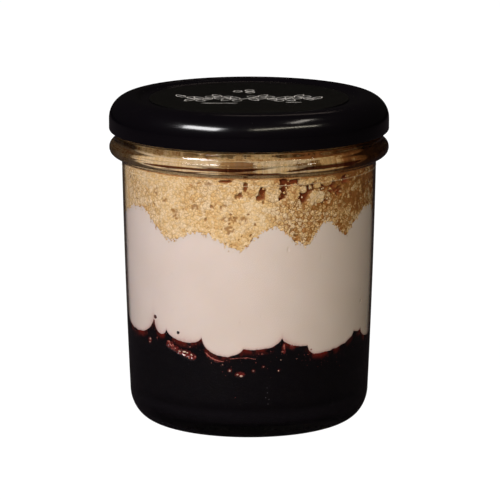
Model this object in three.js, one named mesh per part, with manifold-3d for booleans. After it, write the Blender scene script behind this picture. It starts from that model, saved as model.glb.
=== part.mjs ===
// A layered dessert in a shut glass jar: blueberry compote at the bottom, cheesecake cream in the
// middle, biscuit crumble on top, and a black twist-off lid with a round label.
// Units are millimetres, +Z is up, and the origin is the middle of the base.
// Angles run round the jar from its front, which faces -Y, towards +X.
import * as THREE from "three";
import { mergeVertices } from "three/addons/utils/BufferGeometryUtils.js";
import Module from "manifold-3d";

const wasm = await Module();
wasm.setup();

// Driving dimensions of the jar and its lid
const lidRadius = 42.75;
const totalHeight = 100;
const baseRadius = 36.7;
const shoulderRadius = 38.85;
const heelWidth = 7.5;
const heelHeight = 9.6;
const shoulderHeight = 80.6;
const wallBelly = 0.24;
const wallThickness = 2.6;
const floorThickness = 4.8;
const pushUpHeight = 1.6;
const pushUpRadius = 24;
const innerHeelWidth = 6.6;
const innerHeelHeight = 8;

// The glass bead under the lid: a round tip, with a hollow curve under it and another over it that
// leads up to the neck. Its angles are degrees up from level.
const beadRadius = 42.7;
const beadHeight = 84.3;
const beadTip = 2.4;
const beadFrom = -62;
const beadTo = 55;
const hollowUnder = 1.5;
const hollowOver = 1.6;

// The neck that the lid is screwed on
const neckLand = 88.7;
const neckRadius = 39.9;
const lipHeight = 98;
const lipRound = 1.7;
const mouthRadius = 36.7;
const mouthRound = 0.9;

// The crumble's top, heaped up in the middle and lower at the glass
const heapHeight = 87;
const rimHeight = 86.2;

// The lid: a pressed cap of sheet metal with a curled edge and a sunk panel
const lidSheet = 0.9;
const lidShoulder = 6.8;
const curlRadius = 0.85;
const curlHeight = 90.2;
const panelDepth = 1.1;
const panelRadius = 33;
const panelStep = 1.4;
const labelRadius = 30.5;
const labelThickness = 0.25;
const labelGap = 0.05;

// Clearance between the glass and what fills it, and between one layer and the next
const gap = 0.3;

const glassSides = 56;
const layerSides = 72;
const layerRings = 4;
const turn = Math.PI * 2;
const degrees = Math.PI / 180;

// Repeatable random numbers from 0 to 1
function seededRandom(seed) {
  let state = seed;
  return () => {
    state = (state * 1664525 + 1013904223) % 4294967296;
    return state / 4294967296;
  };
}

// Points of an elliptical arc, from one angle to another, in degrees
function arc(x, y, radiusX, radiusY, from, to, steps) {
  const curve = new THREE.EllipseCurve(x, y, radiusX, radiusY, from * degrees, to * degrees, to < from);
  return curve.getPoints(steps);
}

const point = (radius, height) => new THREE.Vector2(radius, height);

// Radius of the jar's outer wall between the heel and the bead
function outerWall(height) {
  const share = (height - heelHeight) / (shoulderHeight - heelHeight);
  const belly = wallBelly * 4 * share * (1 - share);
  return THREE.MathUtils.lerp(baseRadius, shoulderRadius, share) + belly;
}

// Radius of the jar's inner wall, which widens a little into the mouth
function innerWall(height) {
  const straight = outerWall(Math.min(height, shoulderHeight)) - wallThickness;
  return THREE.MathUtils.lerp(straight, mouthRadius, THREE.MathUtils.smoothstep(height, 78, 86));
}

// Radius of the cavity, rounded at the heel, for a cavity shrunk by a margin on every side
function cavityRadius(height, margin) {
  const floor = floorThickness + margin;
  const heelTop = floorThickness + innerHeelHeight;
  const wall = innerWall(Math.max(height, heelTop)) - margin;
  if (height >= heelTop) return wall;
  const rise = (heelTop - Math.max(height, floor)) / (heelTop - floor);
  return wall - (innerHeelWidth - margin) * (1 - Math.sqrt(Math.max(0, 1 - rise * rise)));
}

function turned(profile) {
  return new THREE.LatheGeometry(profile, glassSides).rotateX(Math.PI / 2);
}

function beadProfile() {
  const tip = arc(beadRadius - beadTip, beadHeight, beadTip, beadTip, beadFrom, beadTo, 5);
  const foot = arc(shoulderRadius + hollowUnder, 0, hollowUnder, hollowUnder, 180, 180 + beadFrom, 3);
  const slope = Math.tan((90 + beadFrom) * degrees);
  const lift = tip[0].y - foot.at(-1).y - slope * (tip[0].x - foot.at(-1).x);
  for (const spot of foot) spot.y += lift;
  const neckSide = tip.at(-1).x - hollowOver * (1 - Math.cos(beadTo * degrees));
  const neckFoot = tip.at(-1).y + hollowOver * Math.sin(beadTo * degrees);
  return [...foot, ...tip, point(neckSide, neckFoot), point(neckSide, neckLand)];
}

function jarGeometry() {
  const innerHeights = [86, 78];
  const heelCentre = baseRadius - heelWidth;
  const innerHeelTop = floorThickness + innerHeelHeight;
  const innerHeelCentre = innerWall(innerHeelTop) - innerHeelWidth;
  const profile = [
    point(0, pushUpHeight),
    point(pushUpRadius - 4, pushUpHeight),
    point(pushUpRadius, 0),
    ...arc(heelCentre, heelHeight, heelWidth, heelHeight, -90, 0, 5),
    ...beadProfile(),
    point(neckRadius, neckLand),
    ...arc(neckRadius - lipRound, lipHeight - lipRound, lipRound, lipRound, 0, 90, 2),
    ...arc(mouthRadius + mouthRound, lipHeight - mouthRound, mouthRound, mouthRound, 90, 180, 1),
    ...innerHeights.map((height) => point(innerWall(height), height)),
    ...arc(innerHeelCentre, innerHeelTop, innerHeelWidth, innerHeelHeight, 0, -90, 4),
    point(0, floorThickness),
  ];
  return turned(profile);
}

function lidGeometry() {
  const shoulderCentre = lidRadius - lidShoulder;
  const shoulderBase = totalHeight - lidShoulder;
  const curlCentre = lidRadius - curlRadius;
  const insideSkirt = lidRadius - lidSheet;
  const insideTop = totalHeight - lidSheet;
  const panelTop = totalHeight - panelDepth;
  const profile = [
    point(0, panelTop - lidSheet),
    point(panelRadius + 0.4, panelTop - lidSheet),
    point(panelRadius + panelStep + 0.4, insideTop),
    ...arc(shoulderCentre, shoulderBase, lidShoulder - lidSheet, lidShoulder - lidSheet, 90, 0, 3),
    point(insideSkirt, curlHeight + 1.6),
    point(curlCentre - curlRadius, curlHeight + 1),
    ...arc(curlCentre, curlHeight, curlRadius, curlRadius, -180, 0, 4),
    ...arc(shoulderCentre, shoulderBase, lidShoulder, lidShoulder, 0, 90, 6),
    point(panelRadius + panelStep, totalHeight),
    point(panelRadius, panelTop),
    point(0, panelTop),
  ];
  return turned(profile);
}

function labelGeometry() {
  const bottom = totalHeight - panelDepth + labelGap;
  const top = bottom + labelThickness;
  return turned([point(0, bottom), point(labelRadius, bottom), point(labelRadius, top), point(0, top)]);
}

// Where the layers meet at the glass. Each mark is an angle in degrees and a height. Cream was
// spooned on the compote, which is drawn up into a sharp point (every even mark) between two round
// spoonfuls (every odd mark).
const compoteMarks = [
  [-84, 36],
  [-66.5, 30],
  [-52, 36.2],
  [-47, 31],
  [-43.5, 33],
  [-31, 29.6],
  [-23.3, 32],
  [-12, 26.3],
  [-3, 28.8],
  [3, 28.4],
  [16, 32.4],
  [27, 28.9],
  [29.4, 29.1],
  [34.2, 26],
  [60.5, 30.8],
  [64, 29.9],
  [67.5, 30.5],
  [77.5, 27.2],
];

// Cream stands up in mounds (every odd mark) with crumble in the valleys between (every even mark)
const creamMarks = [
  [-90, 61.8],
  [-58.5, 69.1],
  [-37, 60.8],
  [-22, 64.2],
  [-3, 58.9],
  [12.3, 66],
  [29, 59.9],
  [40.8, 66.7],
  [52, 61.2],
  [74, 68.8],
  [88, 62.5],
];

// Round the back the marks go on as unevenly as at the front, and end in a copy of the first one
function closedMarks(front, steps, high, low, seed) {
  const random = seededRandom(seed);
  const from = front.at(-1)[0];
  const to = front[0][0] + 360;
  const marks = [...front];
  for (let step = 1; step < steps; step += 1) {
    const angle = THREE.MathUtils.lerp(from, to, (step + 0.5 * (random() - 0.5)) / steps);
    marks.push([angle, (step % 2 === 1 ? high : low) + 3.5 * (random() - 0.5)]);
  }
  return [...marks, [to, front[0][1]]];
}

const compoteLine = closedMarks(compoteMarks, 19, 32.6, 28.6, 11);
const creamLine = closedMarks(creamMarks, 12, 66.5, 60.5, 5);

// Height of a line at an angle in radians, with one curve for its rising and one for its falling parts
function lineHeight(line, angle, rise, fall) {
  const first = line[0][0];
  const turned = first + THREE.MathUtils.euclideanModulo(angle / degrees - first, 360);
  const next = line.findIndex(([mark]) => mark > turned);
  const [[fromAngle, fromHeight], [toAngle, toHeight]] = [line[next - 1], line[next]];
  const share = (turned - fromAngle) / (toAngle - fromAngle);
  const curve = toHeight > fromHeight ? rise : fall;
  return THREE.MathUtils.lerp(fromHeight, toHeight, curve(share));
}

function compoteEdge(angle) {
  const round = (share) => 1 - Math.sqrt(1 - share ** 2);
  return lineHeight(compoteLine, angle, round, (share) => 1 - round(1 - share));
}

function creamEdge(angle) {
  const swell = (share) => Math.sin((share * Math.PI) / 2);
  const slope = (share) => (1 - Math.cos(Math.PI * share ** 0.75)) / 2;
  return lineHeight(creamLine, angle, swell, slope);
}

// Distance along the glass between two angles, in millimetres
function alongGlass(angle, otherAngle, radius) {
  const apart = Math.atan2(Math.sin(angle - otherAngle), Math.cos(angle - otherAngle));
  return Math.abs(apart) * radius;
}

// Soft unevenness that closes on itself round the jar
function ripple(angle, across, count, seed) {
  const random = seededRandom(seed);
  let sum = 0;
  for (let wave = 1; wave <= count; wave += 1) {
    const around = 1 + Math.floor(random() * 4 * wave);
    sum += Math.sin(around * angle + turn * random() + across * wave * (1 + random())) / wave;
  }
  return sum;
}

// Level of a layer from the axis (share 0) to the glass (share 1), where it meets the edge line
function level(angle, share, middle, edge, seed) {
  const mound = middle + 0.9 * share * ripple(angle, share * 3, 3, seed);
  return THREE.MathUtils.lerp(mound, edge, THREE.MathUtils.smoothstep(share, 0.55, 1));
}

const compoteTop = (angle, share) => level(angle, share, 30.5, compoteEdge(angle), 21);
const creamTop = (angle, share) => level(angle, share, 64.5, creamEdge(angle), 22);

function crumbleTop(angle, share) {
  const heap = THREE.MathUtils.lerp(heapHeight, rimHeight, THREE.MathUtils.smoothstep(share, 0.68, 1));
  return heap - 0.5 * share * Math.sin(angle) + 0.5 * share * ripple(angle, share * 4, 4, 23);
}

// How far the crumble stands back from the glass: fine pits, and a hollow with loose lumps near the
// top on the right
function crumblePits(angle, height) {
  const pits = 0.45 + 0.3 * ripple(angle * 7, height * 1.3, 3, 24);
  const sideways = alongGlass(angle, 24 * degrees, 36) / 12;
  const upwards = (height - 77.4) / 3.6;
  const hollow = Math.max(0, 1 - sideways ** 2 - upwards ** 2);
  return THREE.MathUtils.clamp(pits, 0, 0.9) + 3 * hollow;
}

// A closed solid whose outline differs from angle to angle. outlineAt gives the outline's points at an
// angle, from the axis below to the axis above.
function shapedSolid(outlineAt) {
  const positions = [];
  const indices = [];
  const outlines = [];
  for (let side = 0; side < layerSides; side += 1) outlines.push(outlineAt((side / layerSides) * turn));
  const rows = outlines[0].length - 2;
  const ends = [0, rows + 1].map((row) => outlines.reduce((sum, one) => sum + one[row].y, 0) / layerSides);
  positions.push(0, 0, ends[0], 0, 0, ends[1]);
  outlines.forEach((outline, side) => {
    const angle = (side / layerSides) * turn;
    for (let row = 1; row <= rows; row += 1) {
      const { x: radius, y: height } = outline[row];
      positions.push(radius * Math.sin(angle), -radius * Math.cos(angle), height);
    }
  });
  const at = (side, row) => 2 + (side % layerSides) * rows + row;
  for (let side = 0; side < layerSides; side += 1) {
    indices.push(0, at(side + 1, 0), at(side, 0));
    indices.push(1, at(side, rows - 1), at(side + 1, rows - 1));
    for (let row = 0; row < rows - 1; row += 1) {
      const corners = [at(side, row), at(side + 1, row), at(side + 1, row + 1), at(side, row + 1)];
      // Where the outline turns back to the axis the square is split the other way, so that the top of
      // one layer and the underside of the next have the same triangles
      const [a, b, c, d] = outlines[side][row + 2].x < outlines[side][row + 1].x
        ? [...corners.slice(1), corners[0]]
        : corners;
      indices.push(a, b, c, a, c, d);
    }
  }
  const geometry = new THREE.BufferGeometry();
  geometry.setAttribute("position", new THREE.Float32BufferAttribute(positions, 3));
  geometry.setIndex(indices);
  return geometry;
}

// Outline points across a layer's top or bottom, from the axis outwards
function acrossLayer(angle, levelAt, lift) {
  return Array.from({ length: layerRings + 1 }, (_, ring) => {
    const share = ring / layerRings;
    const height = levelAt(angle, share) + lift;
    return point(share * cavityRadius(height, gap), height);
  });
}

// Outline points up a layer's side, between two heights that other points already hold
function upSide(angle, from, to, rows, pitsAt) {
  return Array.from({ length: rows - 1 }, (_, row) => {
    const height = THREE.MathUtils.lerp(from, to, (row + 1) / rows);
    return point(cavityRadius(height, gap) - pitsAt(angle, height), height);
  });
}

const noPits = () => 0;

function compoteGeometry() {
  const floor = floorThickness + gap;
  const heelRows = 2;
  return shapedSolid((angle) => {
    const heel = Array.from({ length: heelRows + 1 }, (_, row) => {
      const height = floor + (innerHeelHeight - gap) * (1 - Math.cos((row / heelRows) * 90 * degrees));
      return point(cavityRadius(height, gap), height);
    });
    const side = upSide(angle, floorThickness + innerHeelHeight, compoteTop(angle, 1), 3, noPits);
    return [point(0, floor), ...heel, ...side, ...acrossLayer(angle, compoteTop, 0).reverse()];
  });
}

function creamGeometry() {
  return shapedSolid((angle) => {
    const below = acrossLayer(angle, compoteTop, gap);
    const above = acrossLayer(angle, creamTop, 0);
    const side = upSide(angle, below.at(-1).y, above.at(-1).y, 3, noPits);
    return [...below, ...side, ...above.reverse()];
  });
}

function crumbleCoreGeometry() {
  return shapedSolid((angle) => {
    const below = acrossLayer(angle, creamTop, gap);
    const above = acrossLayer(angle, crumbleTop, 0);
    const side = upSide(angle, below.at(-1).y, above.at(-1).y, 7, crumblePits);
    return [...below, ...side, ...above.reverse()];
  });
}

function toManifold(geometry) {
  const bare = geometry.clone().deleteAttribute("normal").deleteAttribute("uv");
  const merged = mergeVertices(bare, 1e-4);
  return new wasm.Manifold(
    new wasm.Mesh({
      numProp: 3,
      vertProperties: merged.getAttribute("position").array,
      triVerts: new Uint32Array(merged.index.array),
    }),
  );
}

function fromManifold(solid) {
  const mesh = solid.getMesh();
  const geometry = new THREE.BufferGeometry();
  geometry.setAttribute("position", new THREE.BufferAttribute(mesh.vertProperties, 3));
  geometry.setIndex(new THREE.BufferAttribute(mesh.triVerts, 1));
  return geometry;
}

// One lump of biscuit: a few-sided stone with knocked corners, at its place in the jar
function lumpGeometry(size, angle, radius, height, random) {
  const geometry = mergeVertices(
    new THREE.IcosahedronGeometry(size / 2, 0).deleteAttribute("normal").deleteAttribute("uv"),
  );
  const corners = geometry.getAttribute("position");
  for (let corner = 0; corner < corners.count; corner += 1) {
    const swell = 0.8 + 0.4 * random();
    corners.setXYZ(
      corner,
      corners.getX(corner) * swell,
      corners.getY(corner) * swell,
      corners.getZ(corner) * swell * 0.85,
    );
  }
  const tilt = new THREE.Euler(random() * turn, random() * turn, random() * turn);
  return geometry
    .applyMatrix4(new THREE.Matrix4().makeRotationFromEuler(tilt))
    .translate(radius * Math.sin(angle), -radius * Math.cos(angle), height);
}

// Lumps lie over the crumble's top, the largest first, and a few stand in the hollow at the glass
function crumbleLumps() {
  const random = seededRandom(77);
  const topLumps = 32;
  const lumps = [];
  for (let index = 0; index < topLumps; index += 1) {
    const share = 0.93 * Math.sqrt((index * 0.7549) % 1);
    const angle = index * 0.5698 * turn;
    const size = THREE.MathUtils.lerp(4.8, 2.2, index / topLumps);
    const height = crumbleTop(angle, share) + 0.12 * size;
    lumps.push(lumpGeometry(size, angle, share * cavityRadius(height, gap), height, random));
  }
  // Each lump in the hollow: its angle in degrees, its height and its size
  const hollowLumps = [
    [8, 79.4, 4.4],
    [11, 75.9, 4.6],
    [21, 76.2, 4.4],
    [27, 79.2, 4],
    [33, 74.8, 4.8],
    [38, 78.4, 3.8],
  ];
  for (const [spot, height, size] of hollowLumps) {
    const radius = cavityRadius(height, gap) - 0.42 * size;
    lumps.push(lumpGeometry(size, spot * degrees, radius, height, random));
  }
  return lumps;
}

// What the crumble may fill: the cavity above the cream, a little in from the glass
function crumbleRoomGeometry() {
  return shapedSolid((angle) => {
    const below = acrossLayer(angle, creamTop, gap);
    const side = upSide(angle, below.at(-1).y, 95, 3, noPits);
    return [...below, ...side, point(cavityRadius(95, gap), 95), point(0, 95)];
  });
}

function crumbleGeometry() {
  const room = toManifold(crumbleRoomGeometry());
  const lumps = crumbleLumps().map((lump) => toManifold(lump));
  const heap = wasm.Manifold.union([toManifold(crumbleCoreGeometry()), ...lumps]);
  return fromManifold(heap.intersect(room));
}

const clearGlass = new THREE.MeshStandardMaterial({
  color: "#dfe6e4",
  roughness: 0.05,
  metalness: 0,
  transparent: true,
  opacity: 0.3,
});
const blackLacquer = new THREE.MeshStandardMaterial({ color: "#0b090c", roughness: 0.25, metalness: 0 });
const blackPaper = new THREE.MeshStandardMaterial({ color: "#15140f", roughness: 0.5, metalness: 0 });
const compote = new THREE.MeshStandardMaterial({ color: "#14060c", roughness: 0.2, metalness: 0 });
const cream = new THREE.MeshStandardMaterial({ color: "#e9dccd", roughness: 0.45, metalness: 0 });
const biscuit = new THREE.MeshStandardMaterial({ color: "#d9b57f", roughness: 0.9, metalness: 0 });

function piece(name, geometry, material) {
  const mesh = new THREE.Mesh(geometry, material);
  mesh.name = name;
  return mesh;
}

const contents = new THREE.Group();
contents.add(
  piece("compote_layer", compoteGeometry(), compote),
  piece("cream_layer", creamGeometry(), cream),
  piece("crumble_layer", crumbleGeometry(), biscuit),
);

const cap = new THREE.Group();
cap.add(piece("lid", lidGeometry(), blackLacquer), piece("lid_label", labelGeometry(), blackPaper));

const dessertJar = new THREE.Group();
dessertJar.add(piece("glass_jar", jarGeometry(), clearGlass), contents, cap);

export default dessertJar;
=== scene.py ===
import math

import bmesh
import bpy
import numpy as np
from mathutils import Euler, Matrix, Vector, noise


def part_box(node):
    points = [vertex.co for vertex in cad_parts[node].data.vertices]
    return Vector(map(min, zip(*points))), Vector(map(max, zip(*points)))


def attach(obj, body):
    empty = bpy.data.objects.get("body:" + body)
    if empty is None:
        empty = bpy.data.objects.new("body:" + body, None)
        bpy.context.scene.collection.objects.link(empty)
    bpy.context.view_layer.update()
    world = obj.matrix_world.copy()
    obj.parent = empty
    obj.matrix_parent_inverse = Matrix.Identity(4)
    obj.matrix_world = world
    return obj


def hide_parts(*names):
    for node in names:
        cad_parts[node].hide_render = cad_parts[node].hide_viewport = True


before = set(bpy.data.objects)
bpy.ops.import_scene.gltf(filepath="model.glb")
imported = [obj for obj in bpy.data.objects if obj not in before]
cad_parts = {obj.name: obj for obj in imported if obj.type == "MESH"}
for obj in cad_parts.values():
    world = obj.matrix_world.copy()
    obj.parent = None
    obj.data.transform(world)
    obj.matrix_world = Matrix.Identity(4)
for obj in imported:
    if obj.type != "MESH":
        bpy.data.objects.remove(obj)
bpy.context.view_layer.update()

# A shut glass jar of layered dessert. Sizes in the dictionaries are millimetres and angles are
# degrees round the jar, from its front (-Y) towards +X.
mm = 0.001
turn = 2 * math.pi
lidLow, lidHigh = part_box("lid")
lidRadius = lidHigh[0] / mm
totalHeight = lidHigh[2] / mm


# Mesh helpers

def arcPoints(x, z, radiusX, radiusZ, start, end, steps):
    angles = np.radians(np.linspace(start, end, steps + 1))
    return np.stack([x + radiusX * np.cos(angles), z + radiusZ * np.sin(angles)], 1)


def addPiece(name, points, faces, replaced=None, sharp=None):
    mesh = bpy.data.meshes.new(name)
    mesh.from_pydata(points, [], faces)
    mesh.polygons.foreach_set("use_smooth", np.ones(len(mesh.polygons), bool))
    if sharp:
        mesh.set_sharp_from_angle(angle=math.radians(sharp))
    piece = bpy.data.objects.new(name, mesh)
    bpy.context.collection.objects.link(piece)
    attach(piece, "root")
    if replaced:
        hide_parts(replaced)
    return piece


# Faces between two rings of points round the Z axis
def ringFaces(low, high, sides):
    here = np.arange(sides)
    there = np.roll(here, -1)
    return np.stack([low + here, low + there, high + there, high + here], 1).tolist()


# A closed solid round the Z axis. radii and heights have one row for each outline point, from the
# axis below to the axis above, and one column for each side.
def wrapSolid(name, radii, heights, replaced=None, sharp=None):
    rows, sides = radii.shape
    angle = np.arange(sides) / sides * turn
    ring = onWall(angle, heights, radii)[1:-1]
    poles = [[0, 0, heights[0].mean()], [0, 0, heights[-1].mean()]]
    points = np.concatenate([ring.reshape(-1, 3), poles]) * mm
    bottom, top, last = len(points) - 2, len(points) - 1, (rows - 3) * sides
    faces = [(bottom, (side + 1) % sides, side) for side in range(sides)]
    for row in range(rows - 3):
        faces += ringFaces(row * sides, (row + 1) * sides, sides)
    faces += [(top, last + side, last + (side + 1) % sides) for side in range(sides)]
    return addPiece(name, points, faces, replaced, sharp)


def turnedSolid(name, profile, sides, replaced=None, sharp=None):
    radii, heights = (np.repeat(column[:, None], sides, 1) for column in np.asarray(profile, float).T)
    return wrapSolid(name, radii, heights, replaced, sharp)


def setAttribute(piece, name, values):
    layer = piece.data.attributes.new(name, "FLOAT", "POINT")
    layer.data.foreach_set("value", np.asarray(values, np.float32))


# Values over a wrapped solid's outline rows, with one for each pole at the end
def spread(*rows):
    values = np.concatenate(rows)
    return np.append(values[1:-1].ravel(), [values[0].mean(), values[-1].mean()])


def onWall(angle, height, radius):
    return np.stack(np.broadcast_arrays(radius * np.sin(angle), -radius * np.cos(angle), height), -1)


# Signed turn from one angle to others, at most half a turn either way
def turnFrom(angle, degrees):
    return (angle - math.radians(degrees) + math.pi) % turn - math.pi


# How far a place on the wall is from a spot, squared, where the spot's edge is at 1
def spotReach(angle, height, spot, radius):
    degrees, middle, width, tall = spot[:4]
    return (turnFrom(angle, degrees) * radius / width) ** 2 + ((height - middle) / tall) ** 2


# Soft noise from -1 to 1, at points in millimetres, with lumps of the given size
def softNoise(points, size, seed):
    flat = points.reshape(-1, 3) / size + seed * 7.31
    return np.array([noise.noise(p) for p in flat]).reshape(points.shape[:-1])


# Grains of the given size: how far inside its grain each point is (0 at a crack between grains, 1
# deep inside), and a random number for its grain
def grainNoise(points, size, seed):
    flat = points.reshape(-1, 3) / size + seed * 5.17
    inside, lot = [], []
    for p in flat:
        distances, spots = noise.voronoi(p)
        inside.append(min(1, (distances[1] - distances[0]) * 1.8))
        lot.append(0.5 + 0.7 * noise.noise(spots[0] * 11.7))
    shape = points.shape[:-1]
    return np.array(inside).reshape(shape), np.clip(np.array(lot).reshape(shape), 0, 1)


def smoothstep(low, high, value):
    share = np.clip((value - low) / (high - low), 0, 1)
    return share * share * (3 - 2 * share)


def blend(a, b, share):
    return a + (b - a) * share


def seededRandom(seed):
    state = seed
    while True:
        state = (state * 1664525 + 1013904223) % 4294967296
        yield state / 4294967296


# Many small lumps joined in one mesh, each pressed flat where it would pass the inside of the glass
class Scatter:
    def __init__(self, seed):
        self.random = np.random.default_rng(seed)
        self.points, self.faces, self.values = [], [], []
        self.count = 0

    def add(self, centre, size, shape, values, swell=0.3, rough=0.14, upright=False, reach=0.08):
        body, sides = shape
        shift = self.random.uniform(0, 100)
        turned = np.array(Euler(self.random.uniform(0, turn, 3)).to_matrix())
        coarse = np.array([noise.noise(p) for p in body * 1.2 + shift])
        fine = np.array([noise.noise(p) for p in body * 3.3 - shift])
        placed = body * (1 + swell * coarse + rough * fine)[:, None]
        if upright:
            out = math.atan2(centre[0], -centre[1])
            c, s = math.cos(out), math.sin(out)
            frameWays = np.array([[c, s, 0], [-s, c, 0], [0, 0, 1]])
            placed = (placed * np.asarray(size) / 2) @ frameWays + centre
        else:
            stretch = self.random.uniform(0.75, 1.15, 3)
            placed = (placed * stretch * size / 2) @ turned.T + centre
        out = np.hypot(placed[:, 0], placed[:, 1])
        inside = fillRadius(placed[:, 2], reach) / np.maximum(out, 1e-6)
        placed[:, :2] *= np.minimum(1, inside)[:, None]
        self.points.append(placed)
        self.faces.extend([[self.count + i for i in side] for side in sides])
        self.values.append(np.tile(values, (len(placed), 1)))
        self.count += len(placed)

    def piece(self, name, slot, replaced, attributes):
        points = np.concatenate(self.points)
        item = addPiece(name, points * mm, self.faces, replaced)
        for column, attribute in enumerate(attributes):
            setAttribute(item, attribute, np.concatenate(self.values)[:, column])
        return item


def roundShape(levels):
    shape = bmesh.new()
    bmesh.ops.create_icosphere(shape, subdivisions=levels, radius=1)
    points = np.array([vertex.co[:] for vertex in shape.verts])
    faces = [[vertex.index for vertex in face.verts] for face in shape.faces]
    shape.free()
    return points, faces


# Shader helpers. A new node joins the tree of the socket, node or tree that it is put near.

def putValue(socket, value):
    if isinstance(value, bpy.types.NodeSocket):
        socket.id_data.links.new(value, socket)
    else:
        socket.default_value = value


def addNode(near, kind, inputs=None, **settings):
    node = near.id_data.nodes.new("ShaderNode" + kind)
    for key, value in settings.items():
        setattr(node, key, value)
    for key, value in (inputs or {}).items():
        putValue(node.inputs[key], value)
    return node


def setSockets(node, **values):
    for name, value in values.items():
        putValue(node.inputs[name.replace("_", " ")], value)


def startTree(owner, kind):
    owner.use_nodes = True
    owner.node_tree.nodes.clear()
    return addNode(owner.node_tree, "Output" + kind)


def mixShaders(output, share, first, second):
    inputs = {0: share, 1: first.outputs[0], 2: second.outputs[0]}
    mix = addNode(output, "MixShader", inputs)
    putValue(output.inputs["Surface"], mix.outputs[0])
    return mix


def mathNode(operation, *values):
    near = next(value for value in values if isinstance(value, bpy.types.NodeSocket))
    return addNode(near, "Math", dict(enumerate(values)), operation=operation).outputs[0]


def times(product, *others):
    for value in others:
        product = mathNode("MULTIPLY", product, value)
    return product


def timesPlus(value, factor, rest):
    return mathNode("MULTIPLY_ADD", value, factor, rest)


def mixColours(share, first, second):
    return addNode(share, "Mix", {0: share, 6: first, 7: second}, data_type="RGBA").outputs[2]


# From 0 to 1, between two values
def spanNode(value, low, high):
    inputs = {"Value": value, "From Min": low, "From Max": high}
    return addNode(value, "MapRange", inputs).outputs["Result"]


def objectPlace(near):
    return addNode(near, "TexCoord").outputs["Object"]


def heightSpan(place, low, high):
    height = addNode(place, "SeparateXYZ", {"Vector": place}).outputs["Z"]
    return spanNode(height, low * mm, high * mm)


# Soft mottling and a fine grain that every finish has, each at its own sizes
def makeGrainGroup():
    group = bpy.data.node_groups.new("grainAndMottle", "ShaderNodeTree")
    inlet = group.nodes.new("NodeGroupInput")
    outlet = group.nodes.new("NodeGroupOutput")
    place = objectPlace(group)
    kinds = (("Mottle", "Coarse Size", 1.0, 3.0), ("Grain", "Fine Size", 0.1, 2.0))
    for name, title, size, detail in kinds:
        socket = group.interface.new_socket(title, in_out="INPUT", socket_type="NodeSocketFloat")
        socket.default_value = size
        group.interface.new_socket(name, in_out="OUTPUT", socket_type="NodeSocketFloat")
        scale = mathNode("DIVIDE", 1 / mm, inlet.outputs[title])
        inputs = {"Vector": place, "Scale": scale, "Detail": detail, "Roughness": 0.55}
        putValue(outlet.inputs[name], addNode(place, "TexNoise", inputs).outputs["Fac"])
    return group


grainGroup = makeGrainGroup()


# A piece's material, with mottling and grain at its own sizes
def newMaterial(piece, name, coarse, fine):
    material = bpy.data.materials.new(name)
    piece.data.materials.append(material)
    output = startTree(material, "Material")
    shader = addNode(output, "BsdfPrincipled")
    putValue(output.inputs["Surface"], shader.outputs["BSDF"])
    sizes = {"Coarse Size": coarse, "Fine Size": fine}
    outputs = addNode(shader, "Group", sizes, node_tree=grainGroup).outputs
    return shader, outputs["Mottle"], outputs["Grain"]


def bumpFrom(height, strength, distance):
    inputs = {"Height": height, "Strength": strength, "Distance": distance * mm}
    return addNode(height, "Bump", inputs).outputs["Normal"]


def readAttribute(near, name):
    return addNode(near, "Attribute", attribute_name=name).outputs["Fac"]


# The glass jar: heel, tapered wall with a fine moulding ring, bead, neck and lip

jar = {
    "sides": 288,
    "baseRadius": 36.7,
    "shoulderRadius": 38.85,
    "shoulderHeight": 80.6,
    "belly": 0.24,
    "wall": 2.6,
    "floor": 4.8,
    "heel": (7.5, 9.6),
    "innerHeel": (6.6, 8.0),
    "pushUp": (24.0, 1.6),
    "bead": {
        "height": 84.3, "radius": 42.7, "tip": 2.4, "from": -62, "to": 55, "fillets": (1.5, 1.6),
    },
    "neck": {"land": 88.7, "radius": 39.9, "lip": 98.0, "round": 1.7},
    "mouth": {"radius": 36.7, "round": 0.9, "from": 78.0, "to": 86.0},
    # The mould line's pale gold tints paint a line of light along it
    "mouldLine": {
        "height": 78.75, "tall": 0.22, "proud": 0.1, "sunk": 0.05, "alpha": 0.27,
        "tint": (0.8, 0.6, 0.38, 1), "bright": (0.95, 0.8, 0.56, 1),
    },
    "tint": (0.985, 0.992, 0.985, 1),
    "clear": (0.97, 0.975, 0.97, 1),
    # Painted dark reflection: seen along the wall at its sides, the glass's colour turns dark, and
    # sooner in the bead
    "paintedEdgeShade": (0.02, 0.016, 0.014, 1),
    "edge": (0.74, 0.82),
    "beadEdge": 0.36,
    "beadFrom": (80.6, 82.2),
    # Level streaks in the bead: their sizes, depth and cut, and the heights over which they tint the
    # glass dark as painted shade
    "streak": {
        "long": 14.0, "tall": 0.75, "deep": 0.24, "cut": (0.46, 0.52), "outside": 38.2,
        "tint": (0.02, 0.004, 0.002, 1), "lowFrom": (80.8, 81.4), "lowTo": (85.8, 84.6),
        "topPaintedShade": (0.09, 0.024, 0.01, 1), "topFrom": (88.4, 89.2), "topShare": 0.9,
    },
    "ripple": 0.025,
}


def outerWall(height):
    share = (height - jar["heel"][1]) / (jar["shoulderHeight"] - jar["heel"][1])
    belly = jar["belly"] * 4 * share * (1 - share)
    return blend(jar["baseRadius"], jar["shoulderRadius"], share) + belly


def innerWall(height):
    straight = outerWall(np.minimum(height, jar["shoulderHeight"])) - jar["wall"]
    mouth = jar["mouth"]
    return blend(straight, mouth["radius"], smoothstep(mouth["from"], mouth["to"], height))


# Radius of the cavity at a height, with its rounded heel, for a filling that reaches into the glass
def fillRadius(height, reach=0.1):
    width, rise = jar["innerHeel"]
    height = np.asarray(height, float)
    heelTop = jar["floor"] + rise
    floor = jar["floor"] - reach
    down = np.clip((heelTop - np.maximum(height, floor)) / (heelTop - floor), 0, 1)
    wall = innerWall(np.maximum(height, heelTop)) + reach
    return wall - (width + reach) * (1 - np.sqrt(1 - down ** 2))


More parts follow.
